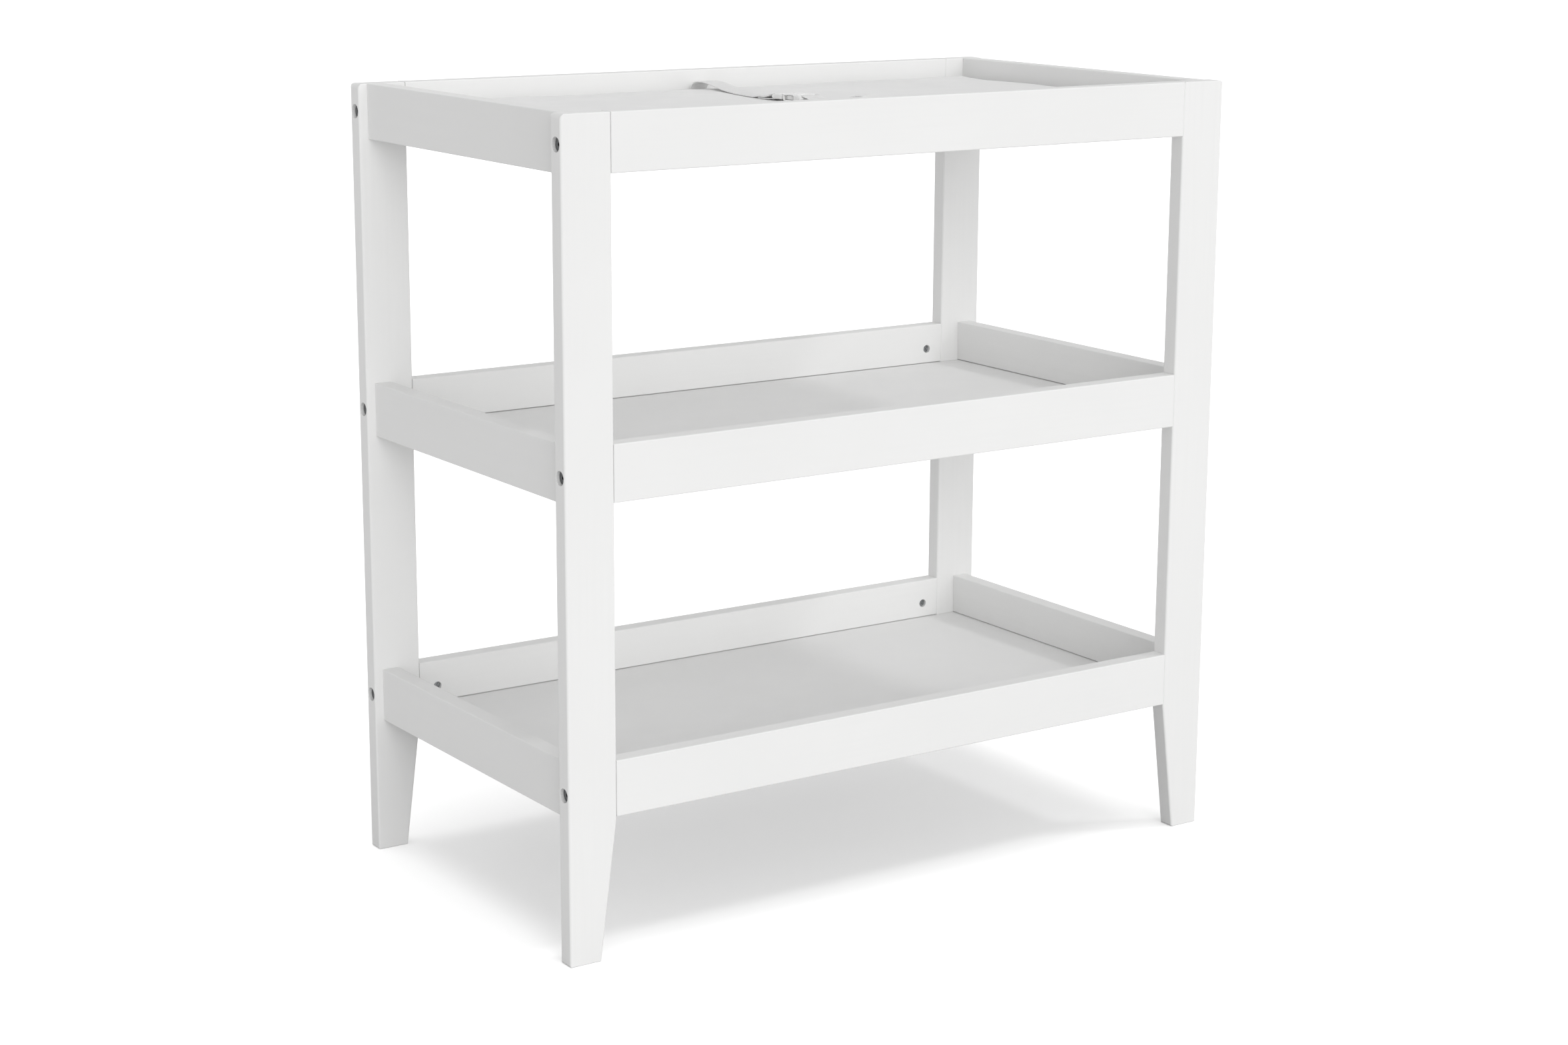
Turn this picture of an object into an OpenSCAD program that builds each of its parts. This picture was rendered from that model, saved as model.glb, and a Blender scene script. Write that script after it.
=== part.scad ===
// Three-tier changing table: four tapered legs, three railed shelves, a soft pad with a buckled safety belt.
// Origin on the floor at the middle of the table. X is the width, -Y the front, +Z up. Millimetres.

/* [Table] */
// Overall width, across the outer edges of the legs
table_w = 900; // [760:10:1100]
// Overall depth, across the outer faces of the legs
table_d = 484; // [430:2:560]
// Overall height, to the top of the legs and top rails
table_h = 920; // [880:10:980]
// Distance from one shelf to the next
shelf_pitch = 347.5; // [320:0.5:355]

/* [Boards] */
// Thickness of the legs and rails
board_t = 21; // [20:1:24]
// Width of a leg, seen from the front
leg_w = 60; // [54:1:75]
// Width of a leg at the floor
foot_w = 39; // [30:1:50]
// Height at which the taper of the foot starts
taper_h = 160; // [120:5:160]
// Height of every rail
rail_h = 63.5; // [60:0.5:75]
// How far the side rails stand in from the outer edge of the legs
side_inset = 11; // [8:1:14]
// Rounding of the long edges of the legs
leg_edge_r = 2.2; // [1:0.1:3]
// Rounding of the outer top corner of a leg
leg_top_r = 5.5; // [3:0.5:8]
// Rounding of the other corners of a leg's outline
leg_corner_r = 3; // [1:0.5:4]
// Rounding of the long edges of the rails
rail_edge_r = 1.4; // [0.8:0.1:2]
// Easing of the ends of a rail, which shows as a fine line at each joint
rail_end_r = 0.5; // [0.3:0.1:0.8]

/* [Shelf panels] */
// Thickness of a panel
panel_t = 6; // [4:0.5:7]
// Height of a panel's underside above the underside of its rails
panel_lift = 6.7; // [5:0.1:8]
// Depth of the groove that holds a panel
groove_depth = 5; // [4:0.5:5.5]
// Free height of the groove above the panel
groove_play = 0.9; // [0.4:0.1:1.2]

/* [Bolts, nuts and dowels] */
// Diameter of the connector bolts
bolt_d = 6; // [5:0.5:6]
// Length of a connector bolt under its head
bolt_len = 80; // [75:5:85]
// Diameter of the flat bolt head
bolt_head_d = 15; // [12:0.5:15]
// Thickness of the flat bolt head
bolt_head_t = 2.2; // [1.8:0.1:3]
// Depth of the bolt head's face below the edge of the leg
bolt_head_sink = 4.2; // [1:0.1:8]
// Diameter of a barrel nut
nut_d = 10; // [10:0.5:11]
// Length of a barrel nut
nut_len = 14; // [12:1:14]
// Distance of a barrel nut from the end of its rail
nut_setback = 23.5; // [20:0.5:28]
// Diameter of the wooden dowels
dowel_d = 8; // [6:1:8]
// Length of the wooden dowels
dowel_len = 30; // [26:1:30]
// Distance of each dowel above or below the middle of its rail
dowel_rise = 20; // [18:0.5:22]

/* [Changing pad] */
// Height of the pad's top face below the top of the rails
pad_drop = 20; // [15:1:25]
// Gap between the pad and the side rails
pad_gap_x = 5; // [3:1:8]
// Gap between the pad and the front and back rails, where the belt runs down
pad_gap_y = 7; // [6:0.5:9]
// Corner radius of the pad, seen from above
pad_corner_r = 16; // [8:1:30]
// Rounding of the pad's top edges
pad_edge_r = 9; // [4:1:12]
// Thickness of the vinyl cover and base sheet
vinyl_t = 0.8; // [0.5:0.1:1.2]

/* [Safety belt] */
// Width of the webbing
strap_w = 25; // [20:1:26]
// Thickness of the webbing
strap_t = 1.4; // [1:0.1:1.6]
// How far the belt's ends are sewn in from the middle of the table
strap_end_x = 7; // [-20:1:20]

/* [Buckle] */
// Width of the socket
socket_w = 32; // [31:0.5:36]
// Length of the socket
socket_len = 35; // [34:0.5:40]
// Thickness of the socket
socket_t = 9.6; // [9:0.1:12]
// Turn of the buckle, seen from above
buckle_turn = 5; // [-10:1:10]

/* [Hidden] */
$fn = 48;
over = 1;                     // how far a cutting shape runs past the face that it opens
fit_gap = 0.05;               // gap round a dowel or a bolt thread
inner_w = table_w - 2 * side_inset - 2 * board_t;
inner_d = table_d - 2 * board_t;
long_rail_len = table_w - 2 * leg_w;
groove_h = panel_t + groove_play;
panel_slack = 0.5;            // gap between a panel's edge and the bottom of its groove
head_seat = bolt_head_sink + bolt_head_t;
head_hole_d = bolt_head_d + 1;
hole_rim = 0.2;               // chamfer at the mouth of a bolt head's hole
bolt_hole_d = bolt_d + 1;
hex_af = 4;                   // hex socket of the bolt, across its flats
hex_depth = 2.6;
hex_drill_end = 4.5;          // free bolt hole past the nut
nut_hole_d = nut_d + 0.5;
nut_slot_w = 1.5;
nut_slot_depth = 1.4;
nut_slot_turns = [35, 125];
dowel_tip = 1;                // chamfer at a dowel's ends
glue_room = 1;                // free depth behind a dowel
leg_dowel_bite = 12;          // depth that a side rail's dowel enters the leg
shelf_z = [for (tier = [0:2]) table_h - rail_h - tier * shelf_pitch];

pad_top = table_h - pad_drop;
panel_top = shelf_z[0] + panel_lift + panel_t;
belt_under_gap = 0.2;         // gap between the shelf panel and the belt under the pad
pad_floor = panel_top + belt_under_gap + strap_t;
pad_w = inner_w - 2 * pad_gap_x;
pad_d = inner_d - 2 * pad_gap_y;
foam_gap = 0.2;

// buckle frame: origin in the middle of the socket's mouth, +Y the way the plug pulls out
buckle_lift = 0.4;
buckle_at = [-21, -28.5, pad_top + buckle_lift + socket_t / 2];
plastic_gap = 0.3;
weld = 1;                      // how far joined shapes of one solid run into each other
cavity = [27, 25, 5];
socket_plan_r = 5;
socket_edge_r = 2.6;
window_y = [-22, -4];
bar_r = 2;
bar_slot = 5.5;
socket_bar_y = -socket_len + bar_r;
plug_w = 30;
plug_t = 6.4;
plug_len = 19;
plug_start = 0.6;
plug_cheek = 2;                // plastic on either side of the plug's belt slot
plug_slot = 4.5;
plug_plan_r = 3;
plug_edge_r = 2;
plug_bar_y = plug_len - bar_r;
tongue = [5, 20, 4];
prong_x = 10.3;
prong_root_r = 2;
prong_root_y = plug_start + 1.4;
prong_t = 4.2;
prong_w = 3;
prong_len = 20;
wing_len = 11;
wing_out = 13.2;
wing_r = 1;

// belt: height over the pad's top face at distances behind the bar that it loops round
loop_r = bar_r + plastic_gap + strap_t / 2;
bar_z = buckle_lift + socket_t / 2;
belt_drop_y = pad_d / 2 + 3.3;   // where the belt hangs down beside the pad
belt_floor = pad_floor - pad_top - strap_t / 2;
belt_tuck = 50;                // how far the belt runs in under the pad
fold_end = [[32, 1.1], [14, 1.4], [6, 1.9]];
back_run = [[9, 6.2], [18, 3.4], [32, 2.9], [44, 1.5], [70, 1.2], [105, 1.4], [135, 2.6],
            [160, 4.8], [185, 6.9], [203, 7.2], [215, 6.2], [223, 3.4]];
front_run = [[9, 6.4], [18, 3.6], [32, 3], [44, 2.6], [56, 4.6], [68, 9.4], [80, 13.4],
             [92, 13.9], [106, 11.2], [122, 8], [138, 5.6], [149, 3.4]];
loop_steps = 8;

// ---- outlines and placing ----

function unit(v) = v / norm(v);

// [first tangent point, second tangent point, centre] of the rounding at corner i of an outline
function rounding(pts, radii, i) =
    let (n = len(pts),
         back = unit(pts[(i + n - 1) % n] - pts[i]),
         ahead = unit(pts[(i + 1) % n] - pts[i]),
         half = acos(back * ahead) / 2,
         cut = radii[i] / tan(half))
    [pts[i] + back * cut, pts[i] + ahead * cut, pts[i] + unit(back + ahead) * radii[i] / sin(half)];

// a convex outline with each corner rounded to its own radius
module rounded_outline(pts, radii) {
    corners = [for (i = [0:len(pts) - 1]) rounding(pts, radii, i)];
    polygon([for (c = corners) each [c[0], c[1]]]);
    for (i = [0:len(pts) - 1])
        translate(corners[i][2]) circle(r = radii[i]);
}

// a rectangle from the origin, with rounded corners
module rounded_rect(size, r) {
    rounded_outline([[0, 0], [size.x, 0], size, [0, size.y]], [r, r, r, r]);
}

// extrudes an XZ outline along +Y
module along_y(length) {
    translate([0, length, 0]) rotate([90, 0, 0]) linear_extrude(length) children();
}

// extrudes a YZ outline along +X
module along_x(length) {
    rotate([90, 0, 90]) linear_extrude(length) children();
}

// a block centred on X and Y, standing on z = 0, rounded in plan, along its sides and over its ends
module soft_block(size, plan_r, edge_r) {
    intersection() {
        translate([-size.x / 2, -size.y / 2, 0])
            linear_extrude(size.z) rounded_rect([size.x, size.y], plan_r);
        translate([-size.x / 2, -size.y / 2, 0]) along_y(size.y) rounded_rect([size.x, size.z], edge_r);
        translate([-size.x / 2, -size.y / 2, 0]) along_x(size.x) rounded_rect([size.y, size.z], edge_r);
    }
}

// places a shape made for the front left leg, with its outer edges on x = 0 and y = 0, at any corner
module at_corner(right, back) {
    mirror([right, 0, 0]) mirror([0, back, 0])
        translate([-table_w / 2, -table_d / 2, 0]) children();
}

module at_every_leg() {
    for (right = [0, 1], back = [0, 1]) at_corner(right, back) children();
}

// ---- wooden frame ----

module leg_blank() {
    lean = atan((leg_w - foot_w) / taper_h);
    reach = table_h;
    intersection() {
        along_y(board_t)
            rounded_outline([[0, 0], [foot_w, 0], [leg_w, taper_h], [leg_w, table_h], [0, table_h]],
                            [leg_corner_r, leg_corner_r, leg_corner_r, leg_corner_r, leg_top_r]);
        linear_extrude(table_h) rounded_rect([leg_w, board_t], leg_edge_r);
        along_x(leg_w) rounded_rect([board_t, table_h], leg_edge_r / 2);
        translate([foot_w, 0, 0]) rotate([0, lean, 0]) translate([-reach, 0, -leg_w])
            linear_extrude(table_h + 4 * leg_w) rounded_rect([reach, board_t], leg_edge_r);
    }
}

module leg_drilling(z) {
    translate([-over, board_t / 2, z]) rotate([0, 90, 0]) {
        cylinder(d = head_hole_d, h = over + head_seat);
        translate([0, 0, over - hole_rim])
            cylinder(d1 = head_hole_d + 4 * hole_rim, d2 = head_hole_d, h = 2 * hole_rim);
        cylinder(d = bolt_hole_d, h = leg_w + 2 * over);
    }
    for (rise = [-dowel_rise, dowel_rise]) {
        translate([leg_w - dowel_len / 2 - glue_room, board_t / 2, z + rise]) rotate([0, 90, 0])
            cylinder(d = dowel_d + 2 * fit_gap, h = dowel_len);
        translate([side_inset + board_t / 2, board_t - leg_dowel_bite - glue_room, z + rise])
            rotate([-90, 0, 0]) cylinder(d = dowel_d + 2 * fit_gap, h = board_t);
    }
}

module leg(right, back) {
    color("#f2f2f1") at_corner(right, back)
        difference() {
            leg_blank();
            for (z = shelf_z) leg_drilling(z + rail_h / 2);
        }
}

// a grooved rail, centred on X, with its outer face on y = 0 and its underside on z = 0
module rail_blank(length) {
    difference() {
        translate([-length / 2, 0, 0]) intersection() {
            along_x(length) rounded_rect([board_t, rail_h], rail_edge_r);
            linear_extrude(rail_h) rounded_rect([length, board_t], rail_end_r);
            along_y(board_t) rounded_rect([length, rail_h], rail_end_r);
        }
        translate([-length / 2 - over, board_t - groove_depth, panel_lift])
            cube([length + 2 * over, groove_depth + over, groove_h]);
    }
}

// holes bored into both ends of a rail
module end_holes(length, d, depth, rise) {
    for (end = [-1, 1])
        translate([end * length / 2, board_t / 2, rail_h / 2 + rise]) rotate([0, 90, 0])
            cylinder(d = d, h = 2 * depth, center = true);
}

module long_rail(tier, back) {
    nut_hole_depth = (board_t + nut_len) / 2;
    color("#f2f2f1") mirror([0, back, 0]) translate([0, -table_d / 2, shelf_z[tier]])
        difference() {
            rail_blank(long_rail_len);
            end_holes(long_rail_len, bolt_hole_d, bolt_len - leg_w + head_seat + hex_drill_end, 0);
            for (rise = [-dowel_rise, dowel_rise])
                end_holes(long_rail_len, dowel_d + 2 * fit_gap, dowel_len / 2 + glue_room, rise);
            for (end = [-1, 1])
                translate([end * (long_rail_len / 2 - nut_setback), board_t + over, rail_h / 2])
                    rotate([90, 0, 0]) cylinder(d = nut_hole_d, h = nut_hole_depth + over);
        }
}

module side_rail(tier, right) {
    color("#efefee") mirror([right, 0, 0]) translate([-table_w / 2 + side_inset, 0, shelf_z[tier]])
        rotate([0, 0, -90])
            difference() {
                rail_blank(inner_d);
                for (rise = [-dowel_rise, dowel_rise])
                    end_holes(inner_d, dowel_d + 2 * fit_gap, dowel_len - leg_dowel_bite + glue_room, rise);
            }
}

// a panel whose four edges lie in the grooves of the rails, cut back clear of the legs
module shelf_panel(tier) {
    bite = groove_depth - panel_slack;
    color("#ededec") translate([0, 0, shelf_z[tier] + panel_lift + panel_t / 2]) {
        cube([inner_w + 2 * bite, inner_d - 2 * panel_slack, panel_t], center = true);
        cube([long_rail_len - 2 * panel_slack, inner_d + 2 * bite, panel_t], center = true);
    }
}

// ---- fasteners ----

module leg_bolt() {
    difference() {
        union() {
            translate([0, 0, bolt_head_sink]) cylinder(d = bolt_head_d, h = bolt_head_t);
            translate([0, 0, head_seat]) cylinder(d = bolt_d, h = bolt_len);
        }
        translate([0, 0, bolt_head_sink - over])
            cylinder(d = hex_af / cos(30), h = hex_depth + over, $fn = 6);
    }
}

module leg_bolts() {
    color("#6f7174") at_every_leg()
        for (z = shelf_z)
            translate([0, board_t / 2, z + rail_h / 2]) rotate([0, 90, 0]) leg_bolt();
}

// a cross-slotted barrel nut along +Y, bored across its middle for the bolt
module barrel_nut() {
    difference() {
        rotate([-90, 0, 0]) cylinder(d = nut_d, h = nut_len);
        translate([0, nut_len / 2, 0]) rotate([0, 90, 0])
            cylinder(d = bolt_d + 2 * fit_gap, h = nut_d + 2 * over, center = true);
        for (turn = nut_slot_turns)
            translate([0, nut_len, 0]) rotate([0, turn, 0])
                cube([nut_d + over, 2 * nut_slot_depth, nut_slot_w], center = true);
    }
}

module barrel_nuts() {
    color("#9b9da0") at_every_leg()
        for (z = shelf_z)
            translate([leg_w + nut_setback, (board_t - nut_len) / 2, z + rail_h / 2]) barrel_nut();
}

module dowel() {
    cylinder(d1 = dowel_d - 2 * dowel_tip, d2 = dowel_d, h = dowel_tip);
    translate([0, 0, dowel_tip]) cylinder(d = dowel_d, h = dowel_len - 2 * dowel_tip);
    translate([0, 0, dowel_len - dowel_tip])
        cylinder(d1 = dowel_d, d2 = dowel_d - 2 * dowel_tip, h = dowel_tip);
}

// dowels between the legs and the front and back rails
module rail_dowels() {
    color("#d9b98a") at_every_leg()
        for (z = shelf_z, rise = [-dowel_rise, dowel_rise])
            translate([leg_w - dowel_len / 2, board_t / 2, z + rail_h / 2 + rise]) rotate([0, 90, 0]) dowel();
}

// dowels between the legs and the side rails
module side_frame_dowels() {
    color("#d9b98a") at_every_leg()
        for (z = shelf_z, rise = [-dowel_rise, dowel_rise])
            translate([side_inset + board_t / 2, board_t - leg_dowel_bite, z + rail_h / 2 + rise])
                rotate([-90, 0, 0]) dowel();
}

// ---- changing pad ----

// the pad's outer form, brought in by a wall, from the given floor up
module pad_form(wall, floor) {
    height = pad_top - wall - floor;
    translate([0, 0, floor]) intersection() {
        translate([0, 0, -pad_edge_r])
            soft_block([pad_w - 2 * wall, pad_d - 2 * wall, height + pad_edge_r],
                       pad_corner_r - wall, pad_edge_r - wall);
        translate([-pad_w / 2, -pad_d / 2, 0]) cube([pad_w, pad_d, height]);
    }
}

module pad_foam() {
    color("#f6f0d8") pad_form(vinyl_t + foam_gap, pad_floor + vinyl_t + foam_gap);
}

module pad_cover() {
    color("#ececeb") difference() {
        pad_form(0, pad_floor + vinyl_t);
        pad_form(vinyl_t, pad_floor + vinyl_t - over);
    }
}

module pad_base_sheet() {
    color("#e4e4e3") translate([-pad_w / 2, -pad_d / 2, pad_floor])
        linear_extrude(vinyl_t) rounded_rect([pad_w, pad_d], pad_corner_r);
}

// ---- safety belt ----

// heights of the belt from the end of its sewn fold, round the bar, over the pad, down and under it
function belt_profile(run, drop) = concat(
    fold_end,
    [for (i = [0:loop_steps])
        let (a = 270 - 180 * i / loop_steps) [loop_r * cos(a), bar_z + loop_r * sin(a)]],
    run,
    [[drop - 0.6, -2], [drop, -6], [drop, belt_floor + 3.2], [drop - 0.5, belt_floor + 1.3],
     [drop - 1.6, belt_floor + 0.3], [drop - 3, belt_floor], [drop - belt_tuck, belt_floor]]);

// sideways place of the belt: in line with the buckle at the bar, and eased over to its sewn end
function eased(u) = u * u * (3 - 2 * u);
function belt_x(s, bar_x, slope, drop) =
    let (u = min(max(s / drop, 0), 1))
    bar_x + slope * s * (1 - u) * (1 - u) + (strap_end_x - bar_x) * eased(u);

// one half of the belt, swept as a flat strip from the bar at bar_xy
// way is +1 to the back and -1 to the front
module strap_half(bar_xy, way, run) {
    drop = belt_drop_y - way * bar_xy.y;
    slope = -way * tan(buckle_turn);
    profile = belt_profile(run, drop);
    last = len(profile) - 1;
    spots = [for (p = profile) [belt_x(p[0], bar_xy.x, slope, drop), bar_xy.y + way * p[0], pad_top + p[1]]];
    aim = [for (p = profile)
        let (dx = belt_x(p[0] + 1, bar_xy.x, slope, drop) - belt_x(p[0] - 1, bar_xy.x, slope, drop))
        p[0] < 6 ? slope : p[0] > drop - 1 ? 0 : dx / 2];
    rings = [for (i = [0:last])
        let (along = unit(spots[min(i + 1, last)] - spots[max(i - 1, 0)]),
             across = unit([1, -way * aim[i], 0]),
             up = unit(cross(across, along)),
             w = across * strap_w / 2,
             t = up * strap_t / 2)
        each [spots[i] - w - t, spots[i] + w - t, spots[i] + w + t, spots[i] - w + t]];
    polyhedron(
        points = rings,
        faces = concat(
            [way > 0 ? [0, 1, 2, 3] : [3, 2, 1, 0]],
            [for (i = [0:last - 1], k = [0:3])
                let (a = 4 * i + k, b = 4 * i + (k + 1) % 4)
                each way > 0 ? [[a, a + 4, b + 4], [a, b + 4, b]] : [[b, b + 4, a + 4], [b, a + 4, a]]],
            [way > 0 ? [4 * last + 3, 4 * last + 2, 4 * last + 1, 4 * last]
                     : [4 * last, 4 * last + 1, 4 * last + 2, 4 * last + 3]]),
        convexity = 6);
}

// a point on the buckle's middle line, seen from above
function on_buckle(y) = [buckle_at.x - y * sin(buckle_turn), buckle_at.y + y * cos(buckle_turn)];

module strap_back() {
    color("#f0f0ef") strap_half(on_buckle(plug_bar_y), 1, back_run);
}

module strap_front() {
    color("#f0f0ef") strap_half(on_buckle(socket_bar_y), -1, front_run);
}

// ---- buckle ----

module at_buckle() {
    translate(buckle_at) rotate([0, 0, buckle_turn]) children();
}

// repeats a shape on both sides of the buckle's middle line
module both_sides() {
    children();
    mirror([1, 0, 0]) children();
}

module buckle_socket() {
    color("#f7f7f6") at_buckle() {
        difference() {
            translate([0, -socket_len / 2, -socket_t / 2])
                soft_block([socket_w, socket_len, socket_t], socket_plan_r, socket_edge_r);
            translate([-cavity.x / 2, -cavity.y, -cavity.z / 2])
                cube([cavity.x, cavity.y + over, cavity.z]);
            translate([-socket_w / 2 - over, window_y[0], -cavity.z / 2])
                cube([socket_w + 2 * over, window_y[1] - window_y[0], cavity.z]);
            translate([-cavity.x / 2, -socket_len - over, -socket_t])
                cube([cavity.x, bar_slot + 2 * bar_r + over, 2 * socket_t]);
        }
        translate([0, socket_bar_y, 0]) rotate([0, 90, 0])
            cylinder(r = bar_r, h = cavity.x + weld, center = true);
    }
}

module buckle_plug() {
    slot_start = plug_bar_y - bar_r - plug_slot;
    slot_w = plug_w - 2 * plug_cheek;
    color("#f7f7f6") at_buckle() {
        difference() {
            translate([0, (plug_start + plug_len) / 2, -plug_t / 2])
                soft_block([plug_w, plug_len - plug_start, plug_t], plug_plan_r, plug_edge_r);
            translate([-slot_w / 2, slot_start, -plug_t]) cube([slot_w, plug_len, 2 * plug_t]);
            both_sides() translate([prong_x, prong_root_y, 0])
                cylinder(r = prong_root_r + plastic_gap, h = prong_t + 2 * plastic_gap, center = true);
        }
        translate([0, plug_bar_y, 0]) rotate([0, 90, 0])
            cylinder(r = bar_r, h = slot_w + weld, center = true);
        translate([-tongue.x / 2, -tongue.y, -tongue.z / 2])
            cube([tongue.x, tongue.y + plug_start + weld, tongue.z]);
    }
}

// a release prong, hinged on its round root, with a finger wing in the socket's side window
module release_prong(left) {
    tip = prong_root_y - prong_len;
    color("#f7f7f6") at_buckle() mirror([left, 0, 0]) translate([0, 0, -prong_t / 2]) {
        translate([prong_x, prong_root_y, 0]) cylinder(r = prong_root_r, h = prong_t);
        translate([prong_x - prong_w / 2, tip, 0]) cube([prong_w, prong_len, prong_t]);
        translate([0, tip, 0]) linear_extrude(prong_t)
            rounded_outline([[prong_x - prong_w / 2, 0], [wing_out, 0], [wing_out, wing_len],
                             [prong_x - prong_w / 2, wing_len]], [wing_r, wing_r, wing_r, wing_r / 2]);
    }
}

leg(0, 0);  // front_left_leg
leg(1, 0);  // front_right_leg
leg(0, 1);  // back_left_leg
leg(1, 1);  // back_right_leg
long_rail(0, 0);  // front_rail_top
long_rail(1, 0);  // front_rail_middle
long_rail(2, 0);  // front_rail_bottom
long_rail(0, 1);  // back_rail_top
long_rail(1, 1);  // back_rail_middle
long_rail(2, 1);  // back_rail_bottom
side_rail(0, 0);  // left_side_rail_top
side_rail(1, 0);  // left_side_rail_middle
side_rail(2, 0);  // left_side_rail_bottom
side_rail(0, 1);  // right_side_rail_top
side_rail(1, 1);  // right_side_rail_middle
side_rail(2, 1);  // right_side_rail_bottom
shelf_panel(0);  // shelf_panel_top
shelf_panel(1);  // shelf_panel_middle
shelf_panel(2);  // shelf_panel_bottom
leg_bolts();
barrel_nuts();
rail_dowels();
side_frame_dowels();
pad_foam();
pad_cover();
pad_base_sheet();
strap_back();
strap_front();
buckle_socket();
buckle_plug();
release_prong(1);  // release_prong_left
release_prong(0);  // release_prong_right
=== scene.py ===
"""Visual model of a white three-shelf changing table with a vinyl pad and a buckled safety belt."""

import math

import bmesh
import bpy
import numpy as np
from mathutils import Matrix, Vector, noise
from mathutils.bvhtree import BVHTree


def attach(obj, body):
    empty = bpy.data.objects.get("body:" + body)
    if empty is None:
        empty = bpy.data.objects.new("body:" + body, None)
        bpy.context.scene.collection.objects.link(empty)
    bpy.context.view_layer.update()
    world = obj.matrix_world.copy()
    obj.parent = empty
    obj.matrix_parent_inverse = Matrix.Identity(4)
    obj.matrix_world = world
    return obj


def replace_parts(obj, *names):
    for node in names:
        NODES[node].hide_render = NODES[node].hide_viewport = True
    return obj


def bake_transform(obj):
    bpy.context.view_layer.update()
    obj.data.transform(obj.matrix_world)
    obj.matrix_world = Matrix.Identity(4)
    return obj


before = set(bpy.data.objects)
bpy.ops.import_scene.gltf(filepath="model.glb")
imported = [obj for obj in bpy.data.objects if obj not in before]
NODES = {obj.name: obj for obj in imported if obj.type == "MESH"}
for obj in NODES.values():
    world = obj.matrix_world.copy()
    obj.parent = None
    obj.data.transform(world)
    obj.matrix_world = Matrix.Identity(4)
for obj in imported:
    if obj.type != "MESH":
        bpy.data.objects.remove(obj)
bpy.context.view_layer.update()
MM = 0.001

# ---------------------------------------------------------------- camera

CAMERA_AT = (-1.9200, -2.8201, 1.1751)
CAMERA_YAW, CAMERA_PITCH, CAMERA_ROLL = (math.radians(a) for a in (34.11, -12.91, 0.27))
CAMERA_LENS, SENSOR_WIDTH = 66.7, 36


def make_camera():
    data = bpy.data.cameras.new("camera")
    data.lens, data.sensor_width = CAMERA_LENS, SENSOR_WIDTH
    data.clip_start, data.clip_end = 0.05, 200
    cam = bpy.data.objects.new("camera", data)
    bpy.context.scene.collection.objects.link(cam)
    look = Vector((math.sin(CAMERA_YAW) * math.cos(CAMERA_PITCH),
                   math.cos(CAMERA_YAW) * math.cos(CAMERA_PITCH), math.sin(CAMERA_PITCH)))
    turn = look.to_track_quat("-Z", "Y").to_matrix() @ Matrix.Rotation(CAMERA_ROLL, 3, "Z")
    cam.matrix_world = Matrix.LocRotScale(Vector(CAMERA_AT), turn.to_quaternion(), None)
    bpy.context.scene.camera = cam


make_camera()

# ---------------------------------------------------------------- materials

MIX_A, MIX_B, MIX_RESULT = 6, 7, 2  # the sockets of a Mix node that carry colours


def math_node(tree, operation, *values):
    """A Math node whose inputs are numbers or other nodes' outputs. Returns its output."""
    node = tree.nodes.new("ShaderNodeMath")
    node.operation = operation
    for socket, value in zip(node.inputs, values):
        if isinstance(value, (int, float)):
            socket.default_value = value
        else:
            tree.links.new(value, socket)
    return node.outputs[0]


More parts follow.
